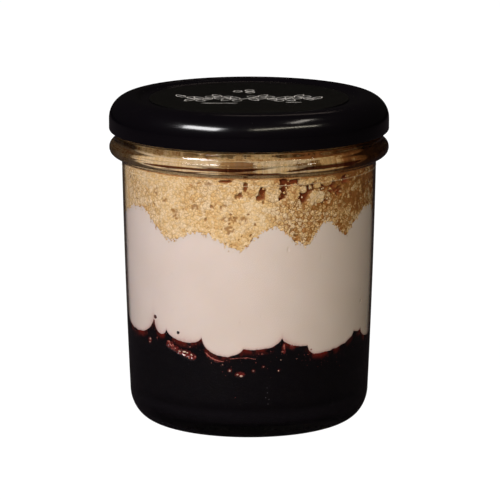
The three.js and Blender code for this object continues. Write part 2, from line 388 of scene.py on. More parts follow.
# The bead: a hollow curve out from the wall, a round tip, and a hollow curve in to the neck
def beadProfile():
    bead = jar["bead"]
    low, high, tipRound = bead["from"], bead["to"], bead["tip"]
    under, over = bead["fillets"]
    tip = arcPoints(bead["radius"] - tipRound, bead["height"], tipRound, tipRound, low, high, 22)
    foot = arcPoints(jar["shoulderRadius"] + under, 0, under, under, 180, 180 + low, 8)
    rise = (tip[0, 0] - foot[-1, 0]) * math.tan(math.radians(90 + low))
    foot[:, 1] += tip[0, 1] - rise - foot[-1, 1]
    way = math.radians(high)
    neckX, neckZ = tip[-1] + over * np.array([math.cos(way), math.sin(way)])
    return np.concatenate([foot, tip, arcPoints(neckX, neckZ, over, over, 180 + high, 180, 8)[1:]])


def jarProfile():
    bead, neck, mouth = beadProfile(), jar["neck"], jar["mouth"]
    heelWidth, heelHeight = jar["heel"]
    pushRadius, pushHeight = jar["pushUp"]
    across = np.linspace(0, pushRadius, 14)
    pushUp = np.stack([across, pushHeight * (1 - smoothstep(0.72, 1, across / pushRadius))], 1)
    heelCentre = jar["baseRadius"] - heelWidth
    heights = np.linspace(heelHeight, bead[0, 1], 30)[:-1]
    wall = np.stack([outerWall(heights), heights], 1)
    innerTop = jar["floor"] + jar["innerHeel"][1]
    inner = np.linspace(mouth["to"], innerTop, 34)
    innerSide = np.stack([innerWall(inner), inner], 1)
    innerHeelCentre = innerWall(innerTop) - jar["innerHeel"][0]
    lipCentre = neck["lip"] - neck["round"]
    return np.concatenate([
        pushUp,
        arcPoints(heelCentre, heelHeight, heelWidth, heelHeight, -90, 0, 20)[:-1],
        wall,
        bead,
        [(bead[-1, 0], neck["land"] - 0.3), (bead[-1, 0] - 0.3, neck["land"])],
        [(neck["radius"], neck["land"])],
        arcPoints(neck["radius"] - neck["round"], lipCentre, neck["round"], neck["round"], 0, 90, 8),
        arcPoints(mouth["radius"] + mouth["round"], neck["lip"] - mouth["round"],
                  mouth["round"], mouth["round"], 90, 180, 6),
        innerSide,
        arcPoints(innerHeelCentre, innerTop, *jar["innerHeel"], 0, -90, 16)[1:],
        [(0, jar["floor"])],
    ])


def glassFinish(piece):
    shader, mottle, grain = newMaterial(piece, "clearGlass", 14.0, 3.0)
    place = objectPlace(shader)
    streak = jar["streak"]
    inBead = heightSpan(place, *jar["beadFrom"])
    # Painted dark reflection: the glass's colour darkens where the wall is seen edge-on
    facing = addNode(shader, "LayerWeight", {"Blend": 0.5}).outputs["Facing"]
    edge = spanNode(timesPlus(inBead, jar["beadEdge"], facing), *jar["edge"])
    # Long level streaks in the bead, on its outside, which smear what is seen through it
    scale = [1 / (streak[way] * mm) for way in ("long", "long", "tall")]
    stretched = addNode(place, "VectorMath", {0: place, 1: scale}, operation="MULTIPLY").outputs[0]
    noiseInputs = {"Vector": stretched, "Scale": 1.0, "Detail": 1.0}
    streaks = addNode(place, "TexNoise", noiseInputs).outputs["Fac"]
    flat = addNode(place, "VectorMath", {0: place, 1: (1, 1, 0)}, operation="MULTIPLY").outputs[0]
    away = addNode(place, "VectorMath", {0: flat}, operation="LENGTH").outputs["Value"]
    outside = mathNode("GREATER_THAN", away, streak["outside"] * mm)
    striped = times(outside, spanNode(streaks, *streak["cut"]))
    # Painted shade: dark streaks in the glass's colour, low in the bead and at its top under the lid
    low = times(heightSpan(place, *streak["lowFrom"]), heightSpan(place, *streak["lowTo"]), striped)
    top = times(heightSpan(place, *streak["topFrom"]), streak["topShare"], striped)
    glass = mixColours(top, mixColours(low, jar["tint"], streak["tint"]), streak["topPaintedShade"])
    ripples = times(timesPlus(grain, 0.25, mottle), jar["ripple"])
    uneven = timesPlus(times(streaks, inBead, outside), streak["deep"], ripples)
    setSockets(
        shader, Roughness=0.0, IOR=1.5, Transmission_Weight=1.0, Normal=bumpFrom(uneven, 1.0, 1.0),
        Base_Color=mixColours(edge, glass, jar["paintedEdgeShade"]),
    )
    # Light for what is inside goes straight through the wall
    rays = addNode(shader, "LightPath").outputs
    straight = mathNode("MAXIMUM", rays["Is Shadow Ray"], rays["Is Diffuse Ray"])
    clear = addNode(shader, "BsdfTransparent", {"Color": jar["clear"]})
    mixShaders(shader.id_data.nodes[0], straight, shader, clear)


# The fine line that the halves of the mould leave under the bead, tinted pale gold as a painted line
# of light
def makeMouldLine():
    line, sides = jar["mouldLine"], jar["sides"]
    middle, half = line["height"], line["tall"] / 2
    wall = float(outerWall(middle))
    around = arcPoints(wall, middle, line["proud"], half, -90, 90, 6)
    within = [(wall - line["sunk"], middle + half), (wall - line["sunk"], middle - half)]
    profile = np.concatenate([around, within])
    angle = np.arange(sides) / sides * turn
    points = np.concatenate([onWall(angle, height, radius) for radius, height in profile])
    faces = []
    for row in range(len(profile)):
        faces += ringFaces(row * sides, (row + 1) % len(profile) * sides, sides)
    piece = addPiece("mouldLine", points * mm, faces, "glass_jar")
    shader, mottle, grain = newMaterial(piece, "mouldLinePaintedLight", 5.0, 0.8)
    setSockets(
        shader, Roughness=0.6, IOR=1.5, Specular_IOR_Level=0.1,
        Alpha=times(spanNode(mottle, 0.1, 0.5), line["alpha"]),
        Base_Color=mixColours(grain, line["tint"], line["bright"]),
    )


glassJar = turnedSolid("glassJar", jarProfile(), jar["sides"], "glass_jar", 50)
glassFinish(glassJar)
makeMouldLine()
print("glass jar made")


# The lid: a pressed cap with a rolled edge, a rounded shoulder and a sunk panel

lid = {
    "sides": 256,
    "sheet": 0.9,
    "shoulder": 6.8,
    "curl": 0.85,
    "curlHeight": 90.2,
    "panelDepth": 1.1,
    "panelRadius": 33.0,
    "panelStep": 1.4,
    "lacquer": (0.0026, 0.002, 0.003, 1),
    "dust": (0.05, 0.045, 0.04, 1),
    "dustSpacing": 4.5,
    "dustReach": 0.03,
}


def lidProfile():
    centre = lidRadius - lid["shoulder"]
    base = totalHeight - lid["shoulder"]
    inside = lid["shoulder"] - lid["sheet"]
    curlCentre = lidRadius - lid["curl"]
    panelTop = totalHeight - lid["panelDepth"]
    rim = lid["panelRadius"] + lid["panelStep"]
    slope = np.linspace(1, 0, 12)
    step = np.stack([
        blend(lid["panelRadius"] - 0.5, rim + 0.6, slope),
        blend(panelTop, totalHeight, smoothstep(0.12, 0.88, slope)),
    ], 1)
    return np.concatenate([
        [(0, panelTop - lid["sheet"]), (lid["panelRadius"] + 0.3, panelTop - lid["sheet"])],
        [(rim + 0.6, totalHeight - lid["sheet"])],
        arcPoints(centre, base, inside, inside, 84, 0, 10),
        [(lidRadius - lid["sheet"], lid["curlHeight"] + 1.6)],
        [(curlCentre - lid["curl"], lid["curlHeight"] + 1)],
        arcPoints(curlCentre, lid["curlHeight"], lid["curl"], lid["curl"], -180, 0, 12),
        arcPoints(centre, base, lid["shoulder"], lid["shoulder"], 0, 90, 28),
        step,
        [(0, panelTop)],
    ])


def lacquerFinish(piece):
    shader, mottle, grain = newMaterial(piece, "blackLacquer", 9.0, 2.2)
    setSockets(shader, Base_Color=lid["lacquer"], IOR=1.5)
    cells = {"Vector": objectPlace(shader), "Scale": 1 / (lid["dustSpacing"] * mm)}
    distance = addNode(shader, "TexVoronoi", cells).outputs["Distance"]
    dust = mathNode("LESS_THAN", distance, lid["dustReach"])
    setSockets(
        shader, Base_Color=mixColours(times(dust, 0.2), lid["lacquer"], lid["dust"]),
        Roughness=timesPlus(dust, 0.4, timesPlus(mottle, 0.12, 0.1)),
        Normal=bumpFrom(grain, 0.1, 0.12),
    )


blackLid = turnedSolid("twistOffLid", lidProfile(), lid["sides"], "lid", 40)
lacquerFinish(blackLid)
print("lid made")


# The round label, with a leafy vine printed in pale ink

label = {
    "sides": 192,
    "radius": 30.5,
    "thickness": 0.25,
    "gap": 0.05,
    "edge": 0.08,
    "paper": (0.0026, 0.0024, 0.0021, 1),
    "fibre": (0.0042, 0.0039, 0.0033, 1),
    "ink": (0.6, 0.58, 0.56, 1),
    "wornInk": (0.3, 0.285, 0.27, 1),
    "inkThickness": 0.02,
    "inkSunk": 0.01,
    "stroke": 0.42,
    "vine": {"half": 20.5, "swing": 2.1, "waves": 3.5, "lower": -1.5},
    "leaf": {"length": 5.4, "width": 2.3, "lean": 58, "stroke": 0.8},
    "curl": {"radius": 2.3, "closes": 0.42, "stroke": 0.7, "shift": 0.15},
    # Leaves and curls to each side of the vine's middle
    "steps": 7,
    "stepShare": 7.4,
    "berries": {"radius": 1.35, "places": ((-3.4, 11.6), (0.2, 13.4), (0.4, 10.0))},
    "rules": ((-9.0, -11.0, 11.0), (13.5, -9.4, 5.0)),
}
labelBottom = totalHeight - lid["panelDepth"] + label["gap"]
labelTop = labelBottom + label["thickness"]


def labelProfile():
    edge = label["edge"]
    return np.concatenate([
        [(0, labelBottom), (label["radius"] - edge, labelBottom)],
        [(label["radius"], labelBottom + edge)],
        arcPoints(label["radius"] - edge, labelTop - edge, edge, edge, 0, 90, 4),
        [(0, labelTop)],
    ])


def paperFinish(piece):
    shader, mottle, grain = newMaterial(piece, "labelPaper", 6.0, 0.35)
    setSockets(shader, Base_Color=label["paper"], IOR=1.4, Specular_IOR_Level=0.3)
    setSockets(
        shader, Base_Color=mixColours(mottle, label["paper"], label["fibre"]),
        Roughness=timesPlus(grain, 0.16, 0.3), Normal=bumpFrom(grain, 0.12, 0.05),
    )


def inkFinish(piece):
    shader, mottle, grain = newMaterial(piece, "paleInk", 2.2, 0.2)
    setSockets(shader, Base_Color=label["ink"], IOR=1.45)
    worn = spanNode(mottle, 0.36, 0.56)
    setSockets(
        shader, Base_Color=mixColours(worn, label["wornInk"], label["ink"]),
        Roughness=timesPlus(grain, 0.2, 0.35),
    )


# A stroke of ink that stands on the label, along a line and tapered to both ends
def inkStroke(line, width, points, faces):
    line = np.asarray(line, float)
    way = np.gradient(line, axis=0)
    side = np.stack([-way[:, 1], way[:, 0]], 1) / np.linalg.norm(way, axis=1)[:, None]
    share = np.linspace(0, 1, len(line))[:, None]
    half = width / 2 * np.clip(4 * np.sin(share * math.pi), 0.25, 1)
    outline = np.concatenate([line - side * half, (line + side * half)[::-1]])
    start, count = len(points), len(outline)
    for height in (labelTop - label["inkSunk"], labelTop + label["inkThickness"]):
        points += [(x * mm, y * mm, height * mm) for x, y in outline]
    for i in range(count):
        j = (i + 1) % count
        faces.append((start + i, start + j, start + count + j, start + count + i))
    for i in range(len(line) - 1):
        corners = (i, i + 1, count - 2 - i, count - 1 - i)
        faces.append([start + count + corner for corner in corners])
        faces.append([start + corner for corner in corners[::-1]])


def placeLine(line, place, angle):
    c, s = math.cos(angle), math.sin(angle)
    return [(place[0] + x * c - y * s, place[1] + x * s + y * c) for x, y in line]


def makeOrnament():
    points, faces = [], []
    vine, leaf, curl, berries = (label[part] for part in ("vine", "leaf", "curl", "berries"))

    def vineAt(share):
        wave = math.sin(share * vine["waves"] * math.pi)
        return share * vine["half"], vine["lower"] + vine["swing"] * wave

    def addStroke(line, share=1.0):
        inkStroke(line, label["stroke"] * share, points, faces)

    addStroke([vineAt(share) for share in np.linspace(-1, 1, 90)])
    along = np.linspace(0, 1, 14)
    for edge in (-1, 1):
        bulge = edge * leaf["width"] / 2 * np.sin(along * math.pi)
        leafEdge = np.stack([along * leaf["length"], bulge], 1)
        for step in range(-label["steps"], label["steps"] + 1):
            lean = leaf["lean"] if step >= 0 else 180 - leaf["lean"]
            lean = math.radians(lean) * (1 if step % 2 else -1)
            addStroke(placeLine(leafEdge, vineAt(step / label["stepShare"]), lean), leaf["stroke"])
    # A curled tendril on the other side of the vine from each leaf
    bend = np.linspace(0, 1.6 * math.pi, 22)
    shrink = 1 - curl["closes"] * bend / math.pi
    spiral = curl["radius"] * np.stack([shrink * np.sin(bend), 1 - shrink * np.cos(bend)], 1)
    for step in range(1 - label["steps"], label["steps"]):
        way = 1 if step >= 0 else -1
        line = spiral * (way, -1 if step % 2 else 1)
        place = vineAt((step + curl["shift"] * way) / label["stepShare"])
        addStroke(placeLine(line, place, 0), curl["stroke"])
    around = np.linspace(0, turn, 26)
    ring = berries["radius"] * np.stack([np.cos(around), np.sin(around)], 1)
    for place in berries["places"]:
        addStroke(ring + place)
    for x, y, length in label["rules"]:
        addStroke([(x + share * length, y) for share in np.linspace(-0.5, 0.5, 8)])
    inkFinish(addPiece("labelOrnament", points, faces, sharp=30))


paperLabel = turnedSolid("lidLabel", labelProfile(), label["sides"], "lid_label", 60)
paperFinish(paperLabel)
makeOrnament()
print("label made")


# Where the layers meet at the glass: angle and height of each mark, as in the solid model

layers = {
    "sides": 800,
    "compoteMarks": [
        (-84, 36), (-66.5, 30), (-52, 36.2), (-47, 31), (-43.5, 33), (-31, 29.6), (-23.3, 32),
        (-12, 26.3), (-3, 28.8), (3, 28.4), (16, 32.4), (27, 28.9), (29.4, 29.1), (34.2, 26),
        (60.5, 30.8), (64, 29.9), (67.5, 30.5), (77.5, 27.2),
    ],
    "compoteBack": {"steps": 19, "high": 32.6, "low": 28.6, "seed": 11},
    "creamMarks": [
        (-90, 61.8), (-58.5, 69.1), (-37, 60.8), (-22, 64.2), (-3, 58.9), (12.3, 66), (29, 59.9),
        (40.8, 66.7), (52, 61.2), (74, 68.8), (88, 62.5),
    ],
    "creamBack": {"steps": 12, "high": 66.5, "low": 60.5, "seed": 5},
    "compoteMiddle": 30.5,
    "creamMiddle": 64.5,
    "seam": 0.04,
}
aroundJar = np.arange(layers["sides"]) / layers["sides"] * turn


def closedMarks(front, back):
    random = seededRandom(back["seed"])
    start, end = front[-1][0], front[0][0] + 360
    marks = list(front)
    for step in range(1, back["steps"]):
        angle = blend(start, end, (step + 0.5 * (next(random) - 0.5)) / back["steps"])
        height = back["high"] if step % 2 else back["low"]
        marks.append((angle, height + 3.5 * (next(random) - 0.5)))
    return np.array(marks + [(end, front[0][1])])


def lineHeight(line, angle, rise, fall):
    first = line[0, 0]
    turned = first + (np.degrees(angle) - first) % 360
    step = np.clip(np.searchsorted(line[:, 0], turned, side="right"), 1, len(line) - 1)
    low, high = line[step - 1], line[step]
    share = (turned - low[:, 0]) / (high[:, 0] - low[:, 0])
    curve = np.where(high[:, 1] > low[:, 1], rise(share), fall(share))
    return blend(low[:, 1], high[:, 1], curve)


def roundUp(share):
    return 1 - np.sqrt(np.clip(1 - share ** 2, 0, 1))


def compoteEdge(angle):
    line = closedMarks(layers["compoteMarks"], layers["compoteBack"])
    height = lineHeight(line, angle, roundUp, lambda share: 1 - roundUp(1 - share))
    wall = onWall(angle, height, innerWall(30.0))
    return height + 0.22 * softNoise(wall, 2.2, 1) + 0.14 * softNoise(wall, 0.8, 2)


def creamEdge(angle):
    line = closedMarks(layers["creamMarks"], layers["creamBack"])
    height = lineHeight(
        line, angle,
        lambda share: np.sin(share * math.pi / 2),
        lambda share: (1 - np.cos(math.pi * share ** 0.75)) / 2,
    )
    wall = onWall(angle, height, innerWall(64.0))
    uneven = 0.6 * softNoise(wall, 2.4, 3) + 0.9 * softNoise(wall, 1.0, 4)
    return height + uneven + 0.6 * softNoise(wall, 0.5, 5)


def ripple(angle, across, count, seed):
    random = seededRandom(seed)
    total = 0
    for wave in range(1, count + 1):
        around = 1 + math.floor(next(random) * 4 * wave)
        phase = turn * next(random)
        total = total + np.sin(around * angle + phase + across * wave * (1 + next(random))) / wave
    return total


def levelAt(share, middle, edge, seed):
    mound = middle + 0.9 * share * ripple(aroundJar, share * 3, 3, seed)
    return blend(mound, edge, smoothstep(0.55, 1, share))


compoteLine = compoteEdge(aroundJar)
creamLine = creamEdge(aroundJar)


# Rows of radius and height across a layer, from the axis to the glass
def acrossLayer(shares, level, lift=0.0, reach=0.1):
    heights = np.stack([level(share) + lift for share in shares])
    return np.array(shares)[:, None] * fillRadius(heights, reach), heights


def upSide(low, high, rows):
    share = np.linspace(0, 1, rows + 1)[:, None]
    return blend(low[None, :], high[None, :], share)


def stackRows(*parts):
    return [np.concatenate(rows) for rows in zip(*parts)]


def compoteLevel(share):
    return levelAt(share, layers["compoteMiddle"], compoteLine, 21)


def creamLevel(share):
    return levelAt(share, layers["creamMiddle"], creamLine, 22)


rings = np.concatenate([np.linspace(0, 0.8, 6), np.linspace(0.86, 1, 6)])


# The same rows from the glass back to the axis, as a layer's top
def topRows(level, shares=rings):
    radii, heights = acrossLayer(shares[:-1], level)
    return radii[::-1], heights[::-1]


# A layer that stands back from the glass by its pits. Each attribute has a value below, values at
# the glass, and a value on top.
def makeLayer(name, replaced, bottom, side, pits, top, attributes):
    radii, heights = stackRows(bottom, (fillRadius(side) - pits, side), top)
    piece = wrapSolid(name, radii, heights, replaced, sharp=60)
    for attribute, (below, values, above) in attributes.items():
        setAttribute(piece, attribute, spread(below + 0 * bottom[1], values, above + 0 * top[1]))
    return piece


def sideAngles(side):
    return np.repeat(aroundJar[None, :], len(side), 0)


# Berry compote: nearly black, red where it is thin under the cream, with wet hollows at the glass

compote = {
    "rows": 64,
    "deep": (0.0026, 0.0023, 0.0038, 1),
    "dark": (0.0038, 0.0027, 0.0030, 1),
    "red": (0.15, 0.013, 0.008, 1),
    "flesh": (0.2, 0.02, 0.016, 1),
    # Painted light: a paler colour near the bottom, over these heights
    "foot": (0.022, 0.018, 0.025, 1),
    "litFootBand": (10.0, 5.2),
    "redBand": 2.0,
    # Hollows in which the syrup hangs free of the glass: angle, height, width, height of it, depth
    "hollows": [
        (-41.6, 28.3, 1.5, 1.1, 0.8), (-38.6, 27.4, 1.6, 0.9, 0.9), (-35.2, 26.6, 1.7, 0.8, 1),
        (-31.8, 26.2, 1.8, 1.1, 1.1), (-28.6, 25.5, 1.5, 1, 1), (-20.3, 26.7, 0.6, 0.9, 0.5),
        (-18.2, 25.4, 0.8, 0.5, 0.5), (-15.4, 24.8, 1.2, 0.4, 0.45), (-56, 28.2, 0.8, 1, 0.5),
        (-4.4, 20.9, 1.6, 0.8, 0.6), (-9.3, 22, 0.7, 0.6, 0.4), (17, 28.6, 0.6, 1.7, 0.6),
        (21.1, 29, 0.9, 0.8, 0.5), (31.6, 27.4, 0.6, 0.8, 0.6), (34, 26, 1.4, 0.35, 0.5),
        (6.8, 23.2, 0.6, 0.5, 0.4), (2.1, 22, 0.5, 0.5, 0.4), (14.6, 21.8, 0.5, 0.4, 0.4),
        (118, 28, 1.8, 1.1, 0.8), (122.5, 27, 1.6, 0.9, 0.9), (127, 26.2, 1.7, 0.9, 0.9),
        (168, 27.5, 1.3, 0.9, 0.7), (172, 26.6, 1.2, 0.8, 0.7), (214, 28, 1.6, 0.9, 0.8),
        (218.5, 27.2, 1.2, 0.9, 0.8), (251, 26.4, 1.4, 0.9, 0.7), (254.6, 25.6, 1, 0.6, 0.6),
    ],
}


def compoteHollow(points, angle, height):
    depth = np.zeros(angle.shape)
    for spot in compote["hollows"]:
        inside = np.clip(1 - spotReach(angle, height, spot, innerWall(spot[1])), 0, 1)
        depth = np.maximum(depth, spot[4] * inside ** 0.5)
    uneven = 0.7 + 0.55 * softNoise(points, 0.9, 31) + 0.5 * softNoise(points, 0.5, 32)
    return depth * np.clip(uneven, 0.12, 1.5)


def makeCompote():
    floor = jar["floor"] - 0.1
    flat = jar["baseRadius"] - jar["wall"] - jar["innerHeel"][0]
    base = np.full(layers["sides"], floor)
    bottomRadii = np.linspace(0, 1, 8)[:, None] * flat + 0 * base
    bottom = (bottomRadii, floor + 0 * bottomRadii)
    side = upSide(base + 0.02, compoteLine, compote["rows"])
    angle = sideAngles(side)
    hollow = compoteHollow(onWall(angle, side, innerWall(20.0)), angle, side)
    attributes = {"underCream": (20, compoteLine - side, 0), "hollow": (0, hollow, 0)}
    return makeLayer(
        "berryCompote", "compote_layer",
        bottom, side, hollow, topRows(compoteLevel), attributes,
    )


def compoteFinish(piece):
    shader, mottle, grain = newMaterial(piece, "berryCompote", 3.4, 0.5)
    fruit = mixColours(mottle, compote["deep"], compote["dark"])
    # Painted light: the compote turns paler towards the bottom
    foot = heightSpan(objectPlace(shader), *compote["litFootBand"])
    fruit = mixColours(foot, fruit, compote["foot"])
    near = spanNode(readAttribute(shader, "underCream"), compote["redBand"], 0.2)
    thin = mixColours(times(near, spanNode(mottle, 0.44, 0.66)), fruit, compote["red"])
    hollow = spanNode(readAttribute(shader, "hollow"), 0.02, 0.3)
    fleshy = times(hollow, spanNode(grain, 0.25, 0.6))
    setSockets(
        shader, IOR=1.4, Specular_IOR_Level=0.15, Roughness=0.4,
        Coat_Weight=hollow, Coat_Roughness=0.06, Coat_IOR=1.6,
        Base_Color=mixColours(fleshy, thin, compote["flesh"]), Normal=bumpFrom(grain, 0.7, 0.35),
    )


# Flecks of pulp, seeds and tiny bubbles that touch the glass, and a drop that has risen into the
# cream: angle, height, width, height of it, and tone from -0.3, nearly black, through 0.2, red, and
# 0.5, pink, to 1, pale gold. The pink and pale gold flecks are painted glints, and the grey bubbles
# are painted reflections
berryFlecksAndGlints = {
    "seed": 6,
    "placed": [
        (-36.2, 32.3, 1.4, 1.4, -0.3), (-50.9, 35.9, 2.1, 1.9, -0.1), (-51.9, 34.2, 1, 2.4, 0.05),
        (-55.6, 28.5, 0.5, 0.7, 0.8), (-56.1, 27.5, 0.4, 0.4, 0.7), (-50, 29.5, 0.6, 0.7, 0.35),
        (-29.6, 28.4, 0.5, 0.4, 0.6), (-41.9, 28.8, 0.7, 1.1, 0.45), (-39.6, 28, 0.5, 1, 0.5),
        (-38.3, 27.2, 0.6, 0.5, 0.6), (-35.7, 26.6, 0.9, 0.4, 0.75), (-33, 26.6, 1.3, 0.5, 0.9),
        (-31.3, 26.4, 0.7, 0.4, 0.9), (-28.9, 25.9, 0.6, 0.6, 0.95), (-32.6, 25.6, 0.6, 0.4, 0.8),
        (-26.9, 25.5, 0.6, 0.5, 0.45), (-30.4, 24.9, 0.5, 0.4, 0.6), (-9.4, 21.9, 0.5, 0.6, 0.85),
        (-5.6, 20.8, 0.5, 0.4, 0.9), (-3.8, 20.3, 0.9, 0.55, 1), (2.1, 22, 0.45, 0.5, 0.7),
        (7, 23.2, 0.4, 0.4, 0.6), (14.4, 21.8, 0.35, 0.4, 0.9), (15.6, 25.1, 0.45, 0.4, 0.85),
        (23.6, 25.1, 0.7, 0.3, 0.75), (6.2, 27.2, 0.5, 0.5, 0.4), (17.2, 29, 0.5, 1.7, 0.4),
        (16.2, 27.6, 0.9, 0.4, 0.42), (21.1, 29.2, 1.1, 0.8, 0.3), (31.4, 27.5, 0.8, 0.7, 0.4),
        (33.8, 26, 1.9, 0.3, 0.42), (-18.4, 24.1, 0.3, 0.3, 0.6), (-12.8, 23.7, 0.35, 0.35, 0.7),
        (3.3, 24.5, 0.4, 0.4, 0.3), (-1.5, 25.8, 0.5, 0.4, 0.25), (120, 27.6, 1, 0.5, 0.8),
        (124, 26.9, 0.7, 0.5, 0.6), (171, 27, 0.8, 0.5, 0.7), (216, 27.8, 0.9, 0.5, 0.85),
        (252, 26.3, 0.7, 0.5, 0.7),
    ],
    "bubbles": [
        (8.8, 16.6, 0.3), (9, 15.1, 0.35), (8.2, 13.6, 0.4), (9.8, 13, 0.35), (9.4, 11.6, 0.3),
        (46.3, 8.8, 0.35), (46, 9.7, 0.25), (133, 14, 0.4), (205, 11, 0.35), (290, 16, 0.3),
    ],
    "bubbleTone": -1.0,
    "bubbleReflection": (0.085, 0.075, 0.085, 1),
    # Thin pink lines of painted highlight along the edges of fruit: angle and height along each
    "glintLines": [
        [(-21.2, 27), (-19.8, 26.2), (-18.2, 25.5), (-16.4, 25.05), (-14.6, 24.8), (-12.6, 24.7)],
        [(-42.8, 29.2), (-41.6, 28.4), (-40.6, 27.8)],
        [(-9, 25.6), (-5, 25.9), (-1, 26.1), (3, 25.6)],
        [(117, 28.5), (119, 27.7), (121.5, 27.1)],
        [(214, 28.9), (216, 28.2), (218.5, 27.8)],
    ],
    "glintLineWidth": 0.34,
    "scattered": 300,
    "scatteredSize": (0.18, 0.5),
    "deep": (0.024, 0.016, 0.018, 1),
    "red": (0.14, 0.014, 0.01, 1),
    "glintPink": (0.62, 0.17, 0.13, 1),
    "gold": (0.95, 0.72, 0.55, 1),
}


def makeBerryFlecksAndGlints():
    scatter = Scatter(berryFlecksAndGlints["seed"])
    random, small, fine = scatter.random, roundShape(1), roundShape(2)

    def addFleck(angle, height, width, tall, tone, shape=fine):
        thick = 0.6 * min(width, tall)
        centre = onWall(math.radians(angle), height, fillRadius(height, 0.1) - 0.3 * thick)
        scatter.add(centre, (width, thick, tall), shape, (tone,), upright=True, reach=0.14)

    for fleck in berryFlecksAndGlints["placed"]:
        addFleck(*fleck)
    for angle, height, size in berryFlecksAndGlints["bubbles"]:
        addFleck(angle, height, size, size, berryFlecksAndGlints["bubbleTone"])
    width = berryFlecksAndGlints["glintLineWidth"]
    for skin in berryFlecksAndGlints["glintLines"]:
        path = np.array(skin)
        steps = np.linspace(0, len(path) - 1, 7 * (len(path) - 1))
        for spot in zip(*(np.interp(steps, range(len(path)), column) for column in path.T)):
            addFleck(*spot, width * 1.3, width, 0.5, small)
    for _ in range(berryFlecksAndGlints["scattered"]):
        angle = random.uniform(0, 360)
        edge = np.interp(angle, np.degrees(aroundJar), compoteLine)
        height = max(edge - 0.6 - random.exponential(2.2), 8)
        size = random.uniform(*berryFlecksAndGlints["scatteredSize"])
        tall = size * random.uniform(0.7, 1)
        addFleck(angle, height, size, tall, random.uniform(-0.2, 0.45), small)
    return scatter.piece("berryFlecksAndGlints", "berry_compote", "compote_layer", ("tone",))


def fleckAndGlintFinish(piece):
    shader, mottle, grain = newMaterial(piece, "wetPulpAndPaintedGlints", 1.0, 0.3)
    tone = readAttribute(shader, "tone")
    low = mixColours(spanNode(tone, -0.3, 0.2), berryFlecksAndGlints["deep"], berryFlecksAndGlints["red"])
    # Painted reflection: bubbles are a flat grey
    low = mixColours(mathNode("LESS_THAN", tone, -0.5), low, berryFlecksAndGlints["bubbleReflection"])
    # Painted glints: high tones turn pink and pale gold
    middle = mixColours(spanNode(tone, 0.2, 0.5), low, berryFlecksAndGlints["glintPink"])
    high = mixColours(spanNode(tone, 0.55, 0.9), middle, berryFlecksAndGlints["gold"])
    shaded = mixColours(spanNode(grain, 0.55, 0.35), high, berryFlecksAndGlints["red"])
    dull = mathNode("LESS_THAN", tone, 0.0)
    setSockets(
        shader, Roughness=0.35, IOR=1.4, Coat_Weight=1.0, Coat_Roughness=0.08, Coat_IOR=1.5,
        Base_Color=mixColours(dull, shaded, low), Normal=bumpFrom(mottle, 0.3, 0.2),
    )


compoteFinish(makeCompote())
fleckAndGlintFinish(makeBerryFlecksAndGlints())
print("compote made")


# Cheesecake cream: smooth against the glass, with a few small pores

cream = {
    "rows": 60,
    "pale": (0.80, 0.668, 0.622, 1),
    "shade": (0.765, 0.635, 0.585, 1),
    "stain": (0.42, 0.085, 0.075, 1),
    # How far the compote stains it, and where further: angle, width in degrees, by how much
    "soak": 0.4,
    "stainSpots": ((-51, 5, 1.6), (-33, 6, 0.7), (17, 6, 0.6), (120, 9, 1.0), (225, 9, 1.0)),
    "pores": 40,
    "poreSize": (0.2, 0.42),
    "poreHeights": (34, 60),
    "seed": 8,
}


def creamPores(angle, height):
    random = np.random.default_rng(cream["seed"])
    depth = np.zeros(angle.shape)
    for _ in range(cream["pores"]):
        spot, middle = random.uniform(0, 360), random.uniform(*cream["poreHeights"])
        size = random.uniform(*cream["poreSize"])
        reach = spotReach(angle, height, (spot, middle, size, size), innerWall(middle))
        inside = np.clip(1 - reach, 0, 1)
        depth = np.maximum(depth, 0.8 * size * inside ** 0.5)
    return depth


def makeCream():
    bottom = acrossLayer(rings[:-1], compoteLevel, layers["seam"])
    side = upSide(compoteLine + layers["seam"], creamLine, cream["rows"])
    pores = creamPores(sideAngles(side), side)
    soak = cream["soak"] + 0 * aroundJar
    for spot, width, more in cream["stainSpots"]:
        soak = soak + more * np.exp(-(np.degrees(turnFrom(aroundJar, spot)) / width) ** 2)
    attributes = {"stain": (0, np.exp((compoteLine - side) / soak), 0)}
    return makeLayer(
        "cheesecakeCream", "cream_layer",
        bottom, side, pores, topRows(creamLevel), attributes,
    )


def creamFinish(piece):
    shader, mottle, grain = newMaterial(piece, "cheesecakeCream", 16.0, 0.6)
    soft = mixColours(spanNode(mottle, 0.35, 0.65), cream["shade"], cream["pale"])
    stain = times(readAttribute(shader, "stain"), grain, 0.9)
    setSockets(
        shader, Roughness=0.55, IOR=1.4, Specular_IOR_Level=0.05, Subsurface_Weight=0.25,
        Subsurface_Scale=0.002, Subsurface_Radius=(1.0, 0.7, 0.45),
        Base_Color=mixColours(stain, soft, cream["stain"]), Normal=bumpFrom(grain, 0.08, 0.1),
    )


creamFinish(makeCream())
print("cream made")


# Biscuit crumble: pressed grains with pits at the glass, a hollow with large lumps, and loose
# crumbs on top

